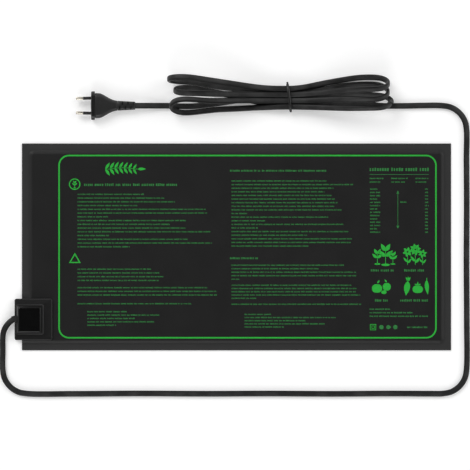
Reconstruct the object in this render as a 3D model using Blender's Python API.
"""Seedling heat mat: a laminated PVC heating mat with a junction box on one corner, a flat two-core flex that
runs round the mat into a tied hank, and a moulded two-pin plug.

The origin is the middle of the mat's underside. +X runs along the mat's long side, +Y across it and +Z up.
Lengths are in metres, written as millimetres times MM.
"""

import math

import bmesh
import bpy
from mathutils import Vector

MM = 0.001
CLEAR = 0.3 * MM  # between pieces that touch on a bench

# Mat
MAT_HALF_X = 263.5 * MM
MAT_HALF_Y = 127 * MM
WELD = 8.5 * MM  # width of the welded margin
SLOPE = 4 * MM  # width of the step from the margin up to the pad
FILM = 0.5 * MM  # each PVC sheet
FOAM_LOW, FOAM_HIGH = 0.6 * MM, 1.2 * MM
FOIL_LOW, FOIL_HIGH = 2.3 * MM, 2.4 * MM
TOP_ON_WELD = 0.6 * MM  # underside of the top sheet on the margin
TOP_ON_PAD = 2.5 * MM  # and over the pad
PAD_X = MAT_HALF_X - WELD - SLOPE
PAD_Y = MAT_HALF_Y - WELD - SLOPE

# Heating wire
WIRE_RADIUS = 0.45 * MM
WIRE_Z = 1.75 * MM
WIRE_RUNS = 14
WIRE_PITCH = 16.4 * MM
WIRE_LEFT, WIRE_RIGHT = -212 * MM, 244 * MM
WIRE_RISER = -219 * MM  # the return run beside the box

# Junction box, in the box's own frame, whose origin is under its middle
BOX_X, BOX_Y = -249.15 * MM, -89 * MM
BOX_SIZE = (46.3 * MM, 50.8 * MM)
BOX_CORNER = 2.5 * MM
MAT_EDGE = -MAT_HALF_X - BOX_X  # the mat's short edge, seen from the box
BASE_TOP = 2.4 * MM
BLOCK_TOP = 3.0 * MM  # the base's part that stands outside the mat
POCKET_X = (-20.6 * MM, 9.9 * MM)
POCKET_Y = 15.8 * MM
POCKET_FLOOR = 1.2 * MM
SEAL_LOW, SEAL_HIGH = 3.1 * MM, 3.6 * MM
SEAL_INSET, SEAL_WIDTH = 0.6 * MM, 1.7 * MM
FLANGE_LOW, FLANGE_HIGH = 3.7 * MM, 6.2 * MM
CROWN_SIZE = (33.2 * MM, 36.2 * MM)
CROWN_X = -4.35 * MM
CROWN_SHOULDER, CROWN_TOP = 14.2 * MM, 15.0 * MM
ROOF = 12.8 * MM  # of the cover's cavity
SCREW_PLACES = ((-16.6, 12.2), (-16.6, -12.2), (6.4, 12.4), (6.4, -12.4))
CLAMP_X, CLAMP_Y = -13.6 * MM, 7.2 * MM
CRIMP_Y, CRIMP_Z = 5.4 * MM, 4.2 * MM
NICHE_X = (-MAT_HALF_X, -238.75 * MM)  # opening of the top sheet under the box
NICHE_Y = 16.5 * MM

# Flex
FLEX_WIDTH, FLEX_THICK = 7.2 * MM, 4.5 * MM
FLEX_STEP = 2 * FLEX_WIDTH
EXIT_Z = 5 * MM
EXIT_TURN = math.radians(32)  # the flex leaves the box this far below -X
EXIT_X, EXIT_Y = -25.3 * MM, -0.4 * MM

# Hank: x, y of its middle, half width, height, height of its underside
HANK = (
    (-85.4, 184.5, 17, 22, 0),
    (-80, 184.8, 24, 28, 0),
    (-60, 184.6, 27.5, 32, 0),
    (-35, 183.2, 26, 30, 0),
    (0, 181.9, 21, 23, 0),
    (35, 182.4, 17.2, 16, 0.3),
    (58, 183.2, 16.2, 12.4, 1.5),
    (71, 183.8, 16.4, 12.4, 1.5),
    (95, 185.2, 18.5, 15, 0.3),
    (130, 187.6, 22.3, 23, 0),
    (160, 189.8, 24.5, 30, 0),
    (178, 189, 22.5, 30, 0),
    (187, 187, 18.5, 26, 0),
    (192.2, 184.5, 15.5, 18, 0),
)
TIE_X, TIE_WIDTH, TIE_THICK = 64.5 * MM, 3.2 * MM, 1.0 * MM

# Plug, in its own frame: the origin is on the face between the pins, +X towards the flex
PLUG_X, PLUG_Y, PLUG_Z = -178.2 * MM, 173.2 * MM, 6.9 * MM
FACE = (35.3 * MM, 13.7 * MM)
CARRIER_DEPTH = 4.6 * MM
LAND = 0.3 * MM  # how far the middle of the face stands out between the pins
PIN_LENGTH, PIN_RADIUS, PIN_CORE = 19 * MM, 2.0 * MM, 1.2 * MM
PIN_SPREAD = 18.6 * MM
PIN_LEAN = math.radians(1.65)
SLEEVE_LENGTH, SLEEVE_OUTER, SLEEVE_INNER = 9.9 * MM, 1.9 * MM, 1.5 * MM
BODY_END, RELIEF_END = 32 * MM, 54 * MM

# The lead's route from the box to the hank, and the tail's from the hank to the plug: x, y, z in millimetres
LEAD_ROUTE = (
    (-279.2, -93.1, 4.9), (-283.4, -98.7, 4.5), (-286.1, -105.1, 3.7), (-287.0, -112.0, 3.0),
    (-287.0, -128.0, 2.4), (-287.0, -150.1, 2.35), (-284.7, -161.6, 2.35), (-278.2, -171.3, 2.35),
    (-268.5, -177.8, 2.35), (-257.0, -180.1, 2.35), (-200.0, -180.4, 2.35), (-120.0, -179.9, 2.35),
    (-40.0, -180.3, 2.35), (40.0, -180.0, 2.35), (120.0, -180.4, 2.35), (190.0, -180.0, 2.35),
    (238.0, -180.2, 2.35), (252.5, -180.1, 2.35), (264.0, -177.8, 2.35), (273.7, -171.3, 2.35),
    (280.2, -161.6, 2.35), (282.5, -150.1, 2.35), (282.8, -90.0, 2.35), (282.4, -20.0, 2.35),
    (282.7, 50.0, 2.35), (282.4, 110.0, 2.35), (282.5, 143.4, 2.35), (280.2, 154.9, 2.35),
    (273.7, 164.6, 2.35), (264.0, 171.1, 2.35), (252.5, 173.4, 2.35), (230.0, 173.6, 2.35),
    (212.0, 173.2, 2.35), (192.5, 173.0, 2.35),
)
TAIL_ROUTE = (
    (-85.7, 173.3, 2.35), (-97.0, 173.3, 3.1), (-106.0, 173.3, 5.0), (-115.0, 173.2, 6.6),
    (-123.9, 173.2, 6.9),
)


# --- materials and objects ---------------------------------------------------------------------------------

def linear(channel):
    """One sRGB channel, 0 to 255, as a linear value."""
    value = channel / 255
    return value / 12.92 if value <= 0.04045 else ((value + 0.055) / 1.055) ** 2.4


def finish(name, colour, roughness, metallic=0.0):
    """A Principled material with an sRGB colour such as 0x262626."""
    made = bpy.data.materials.new(name)
    made.use_nodes = True
    shader = made.node_tree.nodes["Principled BSDF"]
    shade = [linear((colour >> shift) & 255) for shift in (16, 8, 0)]
    shader.inputs["Base Color"].default_value = (*shade, 1)
    shader.inputs["Roughness"].default_value = roughness
    shader.inputs["Metallic"].default_value = metallic
    made.diffuse_color = (*shade, 1)
    return made


def clear_scene():
    for old in list(bpy.data.objects):
        bpy.data.objects.remove(old, do_unlink=True)


def frame_point(name, location):
    """An empty that carries the pieces of one sub-assembly."""
    empty = bpy.data.objects.new(name, None)
    empty.location = location
    bpy.context.scene.collection.objects.link(empty)
    return empty


def place(name, data, material, parent=None, location=(0, 0, 0), rotation=(0, 0, 0)):
    obj = bpy.data.objects.new(name, data)
    data.materials.append(material)
    bpy.context.scene.collection.objects.link(obj)
    obj.parent = parent
    obj.location = location
    obj.rotation_euler = rotation
    return obj


def solid(name, shape, material, smooth=False, **placing):
    """The bmesh as a named object, with its faces pointing out."""
    bmesh.ops.recalc_face_normals(shape, faces=shape.faces)
    mesh = bpy.data.meshes.new(name)
    shape.to_mesh(mesh)
    shape.free()
    obj = place(name, mesh, material, **placing)
    if smooth:
        mesh.shade_smooth()
        mesh.set_sharp_from_angle(angle=math.radians(35))
    return obj


def combine(target, shape, operation):
    """Cuts the bmesh from the target, or joins it on, with an exact Boolean and a hidden helper."""
    helper = solid(f"{target.name}_{operation.lower()}_{len(target.modifiers)}", shape, target.data.materials[0])
    helper.parent = target
    helper.hide_render = True
    helper.display_type = "WIRE"
    modifier = target.modifiers.new(operation.title(), "BOOLEAN")
    modifier.operation = operation
    modifier.solver = "EXACT"
    modifier.object = helper


# --- shapes ------------------------------------------------------------------------------------------------

def rounded(size_x, size_y, corner, steps=3, centre=(0, 0)):
    """A rectangle with round corners, as points counter-clockwise."""
    points = []
    for quarter, (sx, sy) in enumerate(((1, 1), (-1, 1), (-1, -1), (1, -1))):
        cx = centre[0] + sx * (size_x / 2 - corner)
        cy = centre[1] + sy * (size_y / 2 - corner)
        for step in range(steps + 1):
            angle = math.pi / 2 * (quarter + step / steps)
            points.append((cx + corner * math.cos(angle), cy + corner * math.sin(angle)))
    return points


def circle(radius, sides=16, centre=(0, 0)):
    turn = 2 * math.pi / sides
    return [
        (centre[0] + radius * math.cos(turn * i), centre[1] + radius * math.sin(turn * i)) for i in range(sides)
    ]


def loft(shape, rings):
    """Skins equal rings of points one after another and caps both ends."""
    rows = [[shape.verts.new(point) for point in ring] for ring in rings]
    for low, high in zip(rows, rows[1:]):
        for i, corner in enumerate(low):
            after = (i + 1) % len(low)
            shape.faces.new((corner, low[after], high[after], high[i]))
    shape.faces.new(rows[0][::-1])
    shape.faces.new(rows[-1])
    return shape


def prism(shape, outline, low, high):
    return loft(shape, [[(x, y, z) for x, y in outline] for z in (low, high)])


def block(shape, x_range, y_range, z_range):
    corners = [(x_range[i], y_range[j]) for i, j in ((0, 0), (1, 0), (1, 1), (0, 1))]
    return prism(shape, corners, *z_range)


def pillars(shape, places, radius, low, high, sides=16):
    for x, y in places:
        prism(shape, circle(radius, sides, (x * MM, y * MM)), low, high)
    return shape


def turned(profile, sides=16):
    """A solid turned round the Z axis from (radius, z) pairs."""
    return loft(bmesh.new(), [[(x, y, z) for x, y in circle(radius, sides)] for radius, z in profile])


def tube(outer, inner, low, high, sides=16):
    """A straight pipe along the Z axis."""
    shape = bmesh.new()
    rows = []
    for radius, z in ((outer, low), (outer, high), (inner, high), (inner, low)):
        rows.append([shape.verts.new((x, y, z)) for x, y in circle(radius, sides)])
    for row, following in zip(rows, rows[1:] + rows[:1]):
        for i in range(sides):
            after = (i + 1) % sides
            shape.faces.new((row[i], row[after], following[after], following[i]))
    return shape


def smooth_route(points, step, first=None, last=None):
    """Points a step apart on a Catmull-Rom curve through the given points, with optional end directions."""
    points = [Vector(point) for point in points]
    before = points[0] - first if first else 2 * points[0] - points[1]
    beyond = points[-1] + last if last else 2 * points[-1] - points[-2]
    knots = [before, *points, beyond]
    dense = []
    for a, b, c, d in zip(knots, knots[1:], knots[2:], knots[3:]):
        ab, bc, cd = (max((q - p).length, 1e-6) ** 0.5 for p, q in ((a, b), (b, c), (c, d)))
        leave = (b - a) / ab - (c - a) / (ab + bc) + (c - b) / bc
        reach = (c - b) / bc - (d - b) / (bc + cd) + (d - c) / cd
        for i in range(24):
            t = i / 24
            dense.append(
                b * (2 * t**3 - 3 * t**2 + 1) + c * (3 * t**2 - 2 * t**3)
                + leave * bc * (t**3 - 2 * t**2 + t) + reach * bc * (t**3 - t**2)
            )
    dense.append(points[-1])
    lengths = [0.0]
    for p, q in zip(dense, dense[1:]):
        lengths.append(lengths[-1] + (q - p).length)
    count = max(2, round(lengths[-1] / step))
    stations = [i / count for i in range(count + 1)]
    near_end = 0.1 / count  # a point close to each end squares the end faces to the curve
    found, at = [], 0
    for share in [0, near_end, *stations[1:-1], 1 - near_end, 1]:
        target = lengths[-1] * share
        while at < len(dense) - 2 and lengths[at + 1] < target:
            at += 1
        part = (target - lengths[at]) / max(lengths[at + 1] - lengths[at], 1e-9)
        found.append(dense[at].lerp(dense[at + 1], min(max(part, 0), 1)))
    return found


def cornered_route(corners, radius, steps=3):
    """A polyline whose corners are quarter bends; the radius shrinks where a leg is short."""
    corners = [Vector(corner) for corner in corners]
    found = [corners[0]]
    for before, corner, after in zip(corners, corners[1:], corners[2:]):
        back, ahead = before - corner, after - corner
        reach = min(radius, back.length / 2, ahead.length / 2)
        start, end = corner + back.normalized() * reach, corner + ahead.normalized() * reach
        centre = start + end - corner
        for step in range(steps + 1):
            angle = math.pi / 2 * step / steps
            point = centre + (start - centre) * math.cos(angle) + (end - centre) * math.sin(angle)
            if (point - found[-1]).length > 0.2 * MM:
                found.append(point)
    found.append(corners[-1])
    return found


def run(name, points, radius, material, widen=0.0, resolution=1, parent=None):
    """A wire or flex along the points. widen is half of what a flat flex is wider than it is thick."""
    curve = bpy.data.curves.new(name, "CURVE")
    curve.dimensions = "3D"
    curve.twist_mode = "Z_UP"
    curve.bevel_depth = radius
    curve.extrude = widen
    curve.bevel_resolution = resolution
    curve.use_fill_caps = True
    spline = curve.splines.new("POLY")
    spline.points.add(len(points) - 1)
    for knot, point in zip(spline.points, points):
        knot.co = (*point, 1)
        knot.tilt = math.pi / 2 if widen else 0.0
    return place(name, curve, material, parent=parent)


def flex(name, points, material, parent=None, resolution=2):
    """A length of the flat two-core flex, lying on its broad side."""
    return run(name, points, FLEX_THICK / 2, material, (FLEX_WIDTH - FLEX_THICK) / 2, resolution, parent)


def outline_slab(name, outline, low, high, material):
    return solid(name, prism(bmesh.new(), outline, low, high), material)


# --- mat ---------------------------------------------------------------------------------------------------

def top_sheet_height(x, y):
    """Underside of the top sheet: low on the welded margin, high over the pad and under the junction box."""
    over_pad = abs(x) <= PAD_X and abs(y) <= PAD_Y
    beside_box = x <= -PAD_X and -PAD_Y <= y <= BOX_Y + BOX_SIZE[1] / 2 + 0.4 * MM
    return TOP_ON_PAD if over_pad or beside_box else TOP_ON_WELD


def make_top_sheet(material):
    """The printed sheet, with its step round the pad and an opening under the box for the wires."""
    tab = BOX_Y + BOX_SIZE[1] / 2 + 0.4 * MM
    xs = (-MAT_HALF_X, -PAD_X - SLOPE, -PAD_X, NICHE_X[1], PAD_X, PAD_X + SLOPE, MAT_HALF_X)
    ys = (
        -MAT_HALF_Y, -PAD_Y - SLOPE, -PAD_Y, BOX_Y - NICHE_Y, BOX_Y + NICHE_Y, tab, tab + SLOPE,
        PAD_Y, PAD_Y + SLOPE, MAT_HALF_Y,
    )
    shape = bmesh.new()
    low = [[shape.verts.new((x, y, top_sheet_height(x, y))) for y in ys] for x in xs]
    high = [[shape.verts.new((x, y, top_sheet_height(x, y) + FILM)) for y in ys] for x in xs]

    def kept(i, j):
        inside = 0 <= i < len(xs) - 1 and 0 <= j < len(ys) - 1
        return inside and not (xs[i] < NICHE_X[1] and abs((ys[j] + ys[j + 1]) / 2 - BOX_Y) < NICHE_Y)

    for i in range(len(xs) - 1):
        for j in range(len(ys) - 1):
            if not kept(i, j):
                continue
            for sheet in (low, high):
                a, b, c, d = sheet[i][j], sheet[i + 1][j], sheet[i + 1][j + 1], sheet[i][j + 1]
                shape.faces.new((a, b, c))
                shape.faces.new((a, c, d))
            sides = (
                (kept(i - 1, j), (i, j), (i, j + 1)), (kept(i + 1, j), (i + 1, j), (i + 1, j + 1)),
                (kept(i, j - 1), (i, j), (i + 1, j)), (kept(i, j + 1), (i, j + 1), (i + 1, j + 1)),
            )
            for closed, (p, q), (r, s) in sides:
                if not closed:
                    shape.faces.new((low[p][q], low[r][s], high[r][s], high[p][q]))
    bmesh.ops.delete(shape, geom=[v for v in shape.verts if not v.link_faces], context="VERTS")
    return solid("top_sheet", shape, material)


def around_box(half_x, half_y):
    """A rectangle of the mat less the corner that the box's base fills."""
    right = BOX_X + BOX_SIZE[0] / 2 + 0.4 * MM
    low, high = BOX_Y - BOX_SIZE[1] / 2 - 0.4 * MM, BOX_Y + BOX_SIZE[1] / 2 + 0.4 * MM
    outline = [(half_x, -half_y), (half_x, half_y), (-half_x, half_y), (-half_x, high), (right, high)]
    if -half_y < low:
        return outline + [(right, low), (-half_x, low), (-half_x, -half_y)]
    return outline + [(right, -half_y)]


def heating_route():
    """Box terminal, first run, the zigzag, the return riser and the other terminal."""
    first, second = BOX_Y - 6 * MM, BOX_Y + 6 * MM
    rows = [(-(WIRE_RUNS - 1) / 2 + k) * WIRE_PITCH for k in range(WIRE_RUNS)]
    corners = [(BOX_X + 10.6 * MM, first), (WIRE_RISER, first), (WIRE_RISER, rows[0])]
    for k in range(WIRE_RUNS - 1):
        turn = WIRE_LEFT if k % 2 else WIRE_RIGHT
        corners += [(turn, rows[k]), (turn, rows[k + 1])]
    corners += [(WIRE_RISER, rows[-1]), (WIRE_RISER, second), (BOX_X + 10.6 * MM, second)]
    flat = cornered_route([(x, y, WIRE_Z) for x, y in corners], WIRE_PITCH / 2)

    def climb(side):
        steps = ((5.9, 5.4, 4.2), (7.5, 5.6, 3.6), (9.2, 6, 2.2))
        return [Vector((BOX_X + x * MM, BOX_Y + side * y * MM, z * MM)) for x, y, z in steps]

    return climb(-1) + flat + climb(1)[::-1]


def make_mat(finishes):
    pvc, foam = finishes["pvc_sheet"], finishes["foam"]
    outline_slab("bottom_sheet", around_box(MAT_HALF_X, MAT_HALF_Y), 0, FILM, pvc)
    outline_slab("foam_pad", around_box(PAD_X - 1 * MM, PAD_Y - 1 * MM), FOAM_LOW, FOAM_HIGH, foam)
    outline_slab(
        "heat_foil", around_box(PAD_X - 1 * MM, PAD_Y - 1 * MM), FOIL_LOW, FOIL_HIGH, finishes["foil"]
    )
    run("heating_wire", heating_route(), WIRE_RADIUS, finishes["wire"])
    make_top_sheet(pvc)


# --- junction box ------------------------------------------------------------------------------------------

def make_box_base(material, box):
    """A shallow tray under the mat's corner, with the posts of the cord clamp and the cover's screw bosses."""
    half_x, half_y = BOX_SIZE[0] / 2, BOX_SIZE[1] / 2
    base = solid("box_base", prism(bmesh.new(), rounded(*BOX_SIZE, BOX_CORNER), 0, BLOCK_TOP), material, parent=box)
    shelf = block(bmesh.new(), (MAT_EDGE - CLEAR, half_x + 1 * MM), (-half_y - 1 * MM, half_y + 1 * MM),
                  (BASE_TOP, 9 * MM))
    combine(base, shelf, "DIFFERENCE")
    pocket = block(bmesh.new(), POCKET_X, (-POCKET_Y, POCKET_Y), (POCKET_FLOOR, 9 * MM))
    combine(base, pocket, "DIFFERENCE")
    inside = pillars(bmesh.new(), SCREW_PLACES, 3.1 * MM, 0.5 * MM, BLOCK_TOP)
    posts = [(CLAMP_X / MM, side * CLAMP_Y / MM) for side in (-1, 1)]
    pillars(inside, posts, 2.3 * MM, 0.6 * MM, 7.3 * MM)
    block(inside, (-16.4 * MM, -10 * MM), (-4.4 * MM, 4.4 * MM), (0.7 * MM, 2.5 * MM))
    combine(base, inside, "UNION")
    holes = pillars(bmesh.new(), SCREW_PLACES, 1.4 * MM, 1.0 * MM, 9 * MM, sides=12)
    pillars(holes, posts, 1.4 * MM, 3.0 * MM, 9 * MM, sides=12)
    combine(base, holes, "DIFFERENCE")
    combine(base, pillars(bmesh.new(), SCREW_PLACES, 2.4 * MM, -1 * MM, 1.7 * MM), "DIFFERENCE")
    slots = block(bmesh.new(), (-26 * MM, -20 * MM), (-5.1 * MM, 5.1 * MM), (1.5 * MM, 9 * MM))
    for side in (-1, 1):
        block(slots, (9 * MM, 25 * MM), (side * 6 * MM - 0.9 * MM, side * 6 * MM + 0.9 * MM), (1.1 * MM, 9 * MM))
    combine(base, slots, "DIFFERENCE")


def make_box_seal(material, box):
    """A flat gasket round the flange, open where the cord bush stands."""
    outer = (BOX_SIZE[0] - 2 * SEAL_INSET, BOX_SIZE[1] - 2 * SEAL_INSET)
    inner = tuple(size - 2 * SEAL_WIDTH for size in outer)
    seal = solid("box_seal", prism(bmesh.new(), rounded(*outer, 2 * MM), SEAL_LOW, SEAL_HIGH), material, parent=box)
    combine(seal, prism(bmesh.new(), rounded(*inner, 1 * MM), 0, 9 * MM), "DIFFERENCE")
    combine(seal, block(bmesh.new(), (-26 * MM, -18 * MM), (-5.4 * MM, 5.4 * MM), (0, 9 * MM)), "DIFFERENCE")


def crown_ring(inset, z, corner):
    width, depth = CROWN_SIZE
    outline = rounded(width - 2 * inset, depth - 2 * inset, corner, centre=(CROWN_X, 0))
    return [(x, y, z) for x, y in outline]


def make_box_cover(material, box):
    """The lid: a flat flange and a crown with sloping sides, hollow, with four screw bosses."""
    width, depth = BOX_SIZE
    chamfer = 0.5 * MM
    flange = [
        [(x, y, FLANGE_LOW) for x, y in rounded(width, depth, BOX_CORNER)],
        [(x, y, FLANGE_HIGH - chamfer) for x, y in rounded(width, depth, BOX_CORNER)],
        [(x, y, FLANGE_HIGH) for x, y in rounded(width - 2 * chamfer, depth - 2 * chamfer, BOX_CORNER - chamfer)],
    ]
    crown = [
        crown_ring(0, FLANGE_HIGH, 2 * MM),
        crown_ring(2.4 * MM, CROWN_SHOULDER, 2 * MM),
        crown_ring(2.7 * MM, CROWN_TOP - 0.3 * MM, 1.8 * MM),
        crown_ring(3.4 * MM, CROWN_TOP, 1.4 * MM),
    ]
    cover = solid("box_cover", loft(bmesh.new(), flange + crown), material, parent=box)
    middle_x = (POCKET_X[0] + POCKET_X[1]) / 2
    mouth = rounded(POCKET_X[1] - POCKET_X[0], 2 * POCKET_Y, 1 * MM, 2, (middle_x, 0))
    roof = rounded(24.8 * MM, 26.4 * MM, 1 * MM, 2, (-5.1 * MM, 0))
    cavity = [(mouth, 2 * MM), (mouth, FLANGE_LOW), (roof, ROOF)]
    combine(cover, loft(bmesh.new(), [[(x, y, z) for x, y in outline] for outline, z in cavity]), "DIFFERENCE")
    bosses = pillars(bmesh.new(), SCREW_PLACES, 2.3 * MM, BLOCK_TOP + CLEAR, ROOF + 0.5 * MM)
    combine(cover, bosses, "UNION")
    holes = pillars(bmesh.new(), SCREW_PLACES, 1.4 * MM, 0, 10.2 * MM, sides=12)
    block(holes, (-26 * MM, -18.2 * MM), (-5.1 * MM, 5.1 * MM), (0, 8.7 * MM))
    combine(cover, holes, "DIFFERENCE")


def make_cord_bush(material, box):
    """The rubber bush in the box's wall: an inner flange, a body in the wall and a nose turned to the flex."""
    across = Vector((-math.sin(EXIT_TURN), math.cos(EXIT_TURN)))
    back = Vector((math.cos(EXIT_TURN), math.sin(EXIT_TURN)))
    face = Vector((EXIT_X, EXIT_Y)) + back * CLEAR
    shape = bmesh.new()
    body = [(-18.8, -4.8), (-18.8, -6.8), (-17.2, -6.8), (-17.2, 6.8), (-18.8, 6.8), (-18.8, 4.8), (-23.4, 4.8)]
    nose = [face + across * 4.4 * MM, face - across * 4.4 * MM]
    outline = [(x * MM, y * MM) for x, y in body] + [tuple(point) for point in nose] + [(-23.4 * MM, -4.8 * MM)]
    prism(shape, outline[::-1], 1.8 * MM, 8.3 * MM)
    solid("cord_bush", shape, material, parent=box)


def make_screw(name, material, low, head_top, shank_top, head_below, **placing):
    """A pan-head screw along Z with a crossed recess. head_below puts the head at the bottom end."""
    head, shank = 2.1 * MM, 1.1 * MM
    profile = [(head * 0.8, low), (head, low + 0.3 * MM), (head, head_top), (shank, head_top), (shank, shank_top)]
    if not head_below:
        profile = [(radius, low + shank_top - z) for radius, z in reversed(profile)]
    screw = solid(name, turned(profile, 12), material, smooth=True, **placing)
    at = low if head_below else shank_top
    recess = block(bmesh.new(), (-1.2 * MM, 1.2 * MM), (-0.3 * MM, 0.3 * MM), (at - 0.7 * MM, at + 0.7 * MM))
    combine(screw, recess, "DIFFERENCE")
    other = block(bmesh.new(), (-0.3 * MM, 0.3 * MM), (-1.2 * MM, 1.2 * MM), (at - 0.7 * MM, at + 0.7 * MM))
    combine(screw, other, "DIFFERENCE")


def make_box_wiring(finishes, box):
    """The end of the flex under its clamp, its two cores, and the crimps that join them to the heating wire."""
    flex("cord_end", [(-16.9 * MM, 0, EXIT_Z), (-9.3 * MM, 0, EXIT_Z)], finishes["flex"], box)
    bar = bmesh.new()
    prism(bar, rounded(5 * MM, 18.8 * MM, 1 * MM, 2, (CLAMP_X, 0)), 7.55 * MM, 9.6 * MM)
    clamp = solid("cord_clamp", bar, finishes["box_plastic"], parent=box)
    places = [(CLAMP_X / MM, side * CLAMP_Y / MM) for side in (-1, 1)]
    combine(clamp, pillars(bmesh.new(), places, 1.4 * MM, 7 * MM, 11 * MM, sides=12), "DIFFERENCE")
    for number, (x, y) in enumerate(places, 1):
        make_screw(
            f"clamp_screw_{number}", finishes["steel"], 4 * MM, 5.2 * MM, 11.1 * MM, False,
            parent=box, location=(x * MM, y * MM, 0),
        )
    for core, side in (("live", 1), ("neutral", -1)):
        middle = (-4.5 * MM, side * 4 * MM, 4.6 * MM)
        ends = [(-8.5 * MM, side * 1.7 * MM, EXIT_Z), middle, (0, side * CRIMP_Y, CRIMP_Z)]
        run(f"lead_{core}", smooth_route(ends, 2 * MM), 1 * MM, finishes[core], resolution=2, parent=box)
        solid(
            f"crimp_{core}", turned([(1.9 * MM, 0.6 * MM), (1.9 * MM, 5.6 * MM)], 12), finishes["steel"],
            smooth=True, parent=box, location=(0, side * CRIMP_Y, CRIMP_Z), rotation=(0, math.pi / 2, 0),
        )


def make_junction_box(finishes):
    box = frame_point("junction_box", (BOX_X, BOX_Y, 0))
    plastic = finishes["box_plastic"]
    make_box_base(plastic, box)
    make_box_seal(finishes["rubber"], box)
    make_box_cover(plastic, box)
    make_cord_bush(finishes["rubber"], box)
    make_box_wiring(finishes, box)
    for number, (x, y) in enumerate(SCREW_PLACES, 1):
        make_screw(
            f"cover_screw_{number}", finishes["steel"], 0.2 * MM, 1.4 * MM, 9.5 * MM, True,
            parent=box, location=(x * MM, y * MM, 0),
        )


# --- flex, hank and tie ------------------------------------------------------------------------------------

def hank_ring(x, middle_y, half_width, height, underside, grow=0.0, sides=24):
    """A cross-section of the hank, a rounded oval in a plane of constant x."""
    points = []
    for i in range(sides):
        angle = 2 * math.pi * i / sides
        c, s = math.cos(angle), math.sin(angle)
        wide = math.copysign(abs(c) ** 0.8, c) * (half_width + grow)
        tall = math.copysign(abs(s) ** 0.8, s) * (height / 2 + grow)
        points.append((x, middle_y + wide, underside + height / 2 + tall))
    return points


def make_tie(material):
    """A flat band round the hank's waist, leaning a little along the hank from its front to its back."""
    station = next(row for row in HANK if row[0] > TIE_X / MM - 10)
    scale = [value * MM for value in station[1:]]
    shape = bmesh.new()
    rows = []
    gap = 2 * CLEAR
    for side, grow in ((-1, gap), (1, gap), (1, gap + TIE_THICK), (-1, gap + TIE_THICK)):
        ring = hank_ring(TIE_X + side * TIE_WIDTH / 2, *scale, grow=grow)
        rows.append([shape.verts.new((x - 0.12 * (y - scale[0]), y, z)) for x, y, z in ring])
    for row, following in zip(rows, rows[1:] + rows[:1]):
        for i, corner in enumerate(row):
            after = (i + 1) % len(row)
            shape.faces.new((corner, row[after], following[after], following[i]))
    solid("hank_tie", shape, material, smooth=True)


def make_cord(finishes):
    """The lead from the box, the hank, its tie and the tail that goes into the plug."""
    leave = Vector((-math.cos(EXIT_TURN), -math.sin(EXIT_TURN), 0)) * 8 * MM
    start = Vector((BOX_X + EXIT_X, BOX_Y + EXIT_Y, EXIT_Z))
    lead = [start] + [Vector(point) * MM for point in LEAD_ROUTE]
    flex("cord_lead", smooth_route(lead, FLEX_STEP, first=leave), finishes["flex"])
    tail = smooth_route([Vector(point) * MM for point in TAIL_ROUTE], 6 * MM)
    flex("cord_tail", tail, finishes["flex"])
    rings = [hank_ring(*[value * MM for value in station]) for station in HANK]
    solid("cord_hank", loft(bmesh.new(), rings), finishes["flex"], smooth=True)
    make_tie(finishes["tie"])


# --- plug --------------------------------------------------------------------------------------------------

def plug_ring(x, width, thickness, corner):
    """A cross-section of the plug, a rounded rectangle in a plane of constant x."""
    return [(x, y, z) for y, z in rounded(width, thickness, corner, 4)]


def plug_loft(sections):
    return loft(bmesh.new(), [plug_ring(*[value * MM for value in section]) for section in sections])


def along_pins(x, side):
    """Where a pin's axis is at depth x behind the face."""
    return side * (PIN_SPREAD / 2 + x * math.tan(PIN_LEAN))


def make_pin_carrier(material, plug):
    """The hard plate that holds the pins, with a low land between them and a block behind, inside the moulding."""
    width, thick = FACE[0] / MM, FACE[1] / MM
    depth = CARRIER_DEPTH / MM
    land = (-LAND / MM, 8, 6, 1.8), (0, 9, 7, 2)
    sections = (
        *land, (0, width - 1.4, thick - 1.4, 5.8), (0.7, width, thick, 6.5), (depth, width, thick, 6.5),
        (depth, 26.6, 8.4, 3.6), (7.5, 26.2, 8.0, 3.4),
    )
    carrier = solid("pin_carrier", plug_loft(sections), material, smooth=True, parent=plug)
    holes = bmesh.new()
    for side in (-1, 1):
        rings = [
            [(x * MM, along_pins(x * MM, side) + y, z) for y, z in circle(SLEEVE_INNER, 12)] for x in (-2, 10)
        ]
        loft(holes, rings)
    combine(carrier, holes, "DIFFERENCE")


def make_plug_body(material, plug):
    """The soft moulding: parallel at the plate, then drawn in to the neck, with a hollow for the pin crimps."""
    front = CARRIER_DEPTH / MM + 0.3
    sections = (
        (front, 31.0, 12.3, 5.4), (7, 31.0, 12.3, 5.6), (11, 30.4, 12.2, 5.6), (14, 28.2, 12.0, 5.6),
        (18, 23.6, 11.5, 5.4), (22, 18.8, 10.9, 5.0), (26, 15.0, 10.2, 4.6), (29.5, 12.9, 9.7, 4.4),
        (BODY_END / MM, 12.3, 9.4, 4.2),
    )
    body = solid("plug_body", plug_loft(sections), material, smooth=True, parent=plug)
    hollow = plug_loft(((3, 27.4, 9.0, 3.8), (13, 26.2, 9.0, 3.8), (19, 17.6, 7.4, 3.4), (29, 7.8, 5.4, 2.4)))
    combine(body, hollow, "DIFFERENCE")


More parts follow.
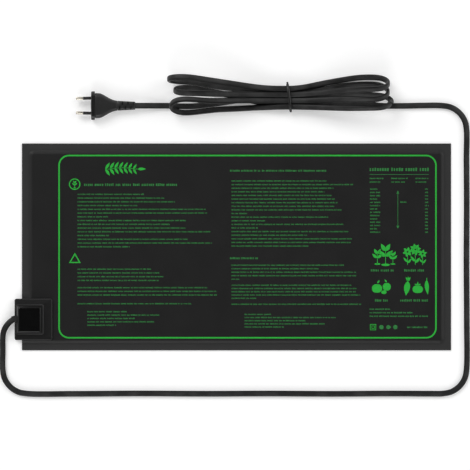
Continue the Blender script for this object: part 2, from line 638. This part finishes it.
def make_plug_relief(material, plug):
    """The ribbed sleeve behind the plug that keeps the flex from kinking, slit by turns at its sides and faces."""
    start, end = BODY_END / MM + 0.3, RELIEF_END / MM
    sections = ((start, 12.0, 9.0, 3.6), (start + 2, 11.8, 8.8, 3.6), (end - 1, 10.2, 7.4, 3.2), (end, 9.6, 6.8, 3))
    relief = solid("plug_relief", plug_loft(sections), material, smooth=True, parent=plug)
    slits = bmesh.new()
    for number, x in enumerate(range(35, 52, 4)):
        span = (x * MM, (x + 1.9) * MM)
        for side in (-1, 1):
            if number % 2:
                block(slits, span, (-2.6 * MM, 2.6 * MM), sorted((side * 2.9 * MM, side * 8 * MM)))
            else:
                block(slits, span, sorted((side * 3.9 * MM, side * 9 * MM)), (-8 * MM, 8 * MM))
    combine(relief, slits, "DIFFERENCE")


def make_pin(name, side, finishes, plug):
    """One contact pin, its insulating sleeve, its crimp and the core of the flex that ends there."""
    aim = (0, -math.pi / 2, 0)
    tilt = (0, -math.pi / 2, side * PIN_LEAN)
    foot = (0, along_pins(0, side), 0)
    tip = PIN_LENGTH
    shoulder = SLEEVE_LENGTH + CLEAR
    profile = (
        (PIN_CORE, -8.2 * MM), (PIN_CORE, shoulder), (PIN_RADIUS, shoulder), (PIN_RADIUS, tip - 1.2 * MM),
        (PIN_RADIUS * 0.86, tip - 0.4 * MM), (PIN_RADIUS * 0.5, tip),
    )
    solid(f"pin_{name}", turned(profile), finishes["nickel"], smooth=True, parent=plug, location=foot, rotation=tilt)
    solid(
        f"pin_sleeve_{name}", tube(SLEEVE_OUTER, SLEEVE_INNER, CLEAR, SLEEVE_LENGTH), finishes["rubber"],
        smooth=True, parent=plug, location=foot, rotation=tilt,
    )
    crimp_y = along_pins(10 * MM, side)
    solid(
        f"pin_crimp_{name}", turned([(1.8 * MM, -12.6 * MM), (1.8 * MM, -8.6 * MM)], 12), finishes["steel"],
        smooth=True, parent=plug, location=(0, crimp_y, 0), rotation=aim,
    )
    steps = ((13.3, crimp_y / MM), (16.5, side * 7.4), (21, side * 4.2), (26.5, side * 2.0))
    core = smooth_route([(x * MM, y * MM, 0) for x, y in steps], 2.4 * MM)
    run(f"plug_lead_{name}", core, 1 * MM, finishes[name], resolution=2, parent=plug)


def make_plug(finishes):
    plug = frame_point("plug", (PLUG_X, PLUG_Y, PLUG_Z))
    make_pin_carrier(finishes["plug_plastic"], plug)
    make_plug_body(finishes["plug_plastic"], plug)
    make_plug_relief(finishes["plug_plastic"], plug)
    make_pin("live", 1, finishes, plug)
    make_pin("neutral", -1, finishes, plug)


def main():
    clear_scene()
    finishes = {
        "pvc_sheet": finish("printed PVC sheet", 0x262626, 0.5),
        "foam": finish("insulating foam", 0xC8C8C4, 0.95),
        "foil": finish("aluminium foil", 0xC9CBCC, 0.3, 1.0),
        "wire": finish("heating wire insulation", 0xB5482E, 0.45),
        "box_plastic": finish("black ABS", 0x141414, 0.45),
        "rubber": finish("black rubber", 0x1A1A1A, 0.7),
        "steel": finish("zinc-plated steel", 0xB4B4B0, 0.35, 1.0),
        "live": finish("brown core insulation", 0x5A3A22, 0.5),
        "neutral": finish("blue core insulation", 0x2A4E8C, 0.5),
        "flex": finish("black PVC flex", 0x1E1E1E, 0.4),
        "tie": finish("black tie", 0x121212, 0.5),
        "plug_plastic": finish("black moulded PVC", 0x202020, 0.45),
        "nickel": finish("nickel-plated brass", 0xC6C2B6, 0.22, 1.0),
    }
    make_mat(finishes)
    make_junction_box(finishes)
    make_cord(finishes)
    make_plug(finishes)


main()
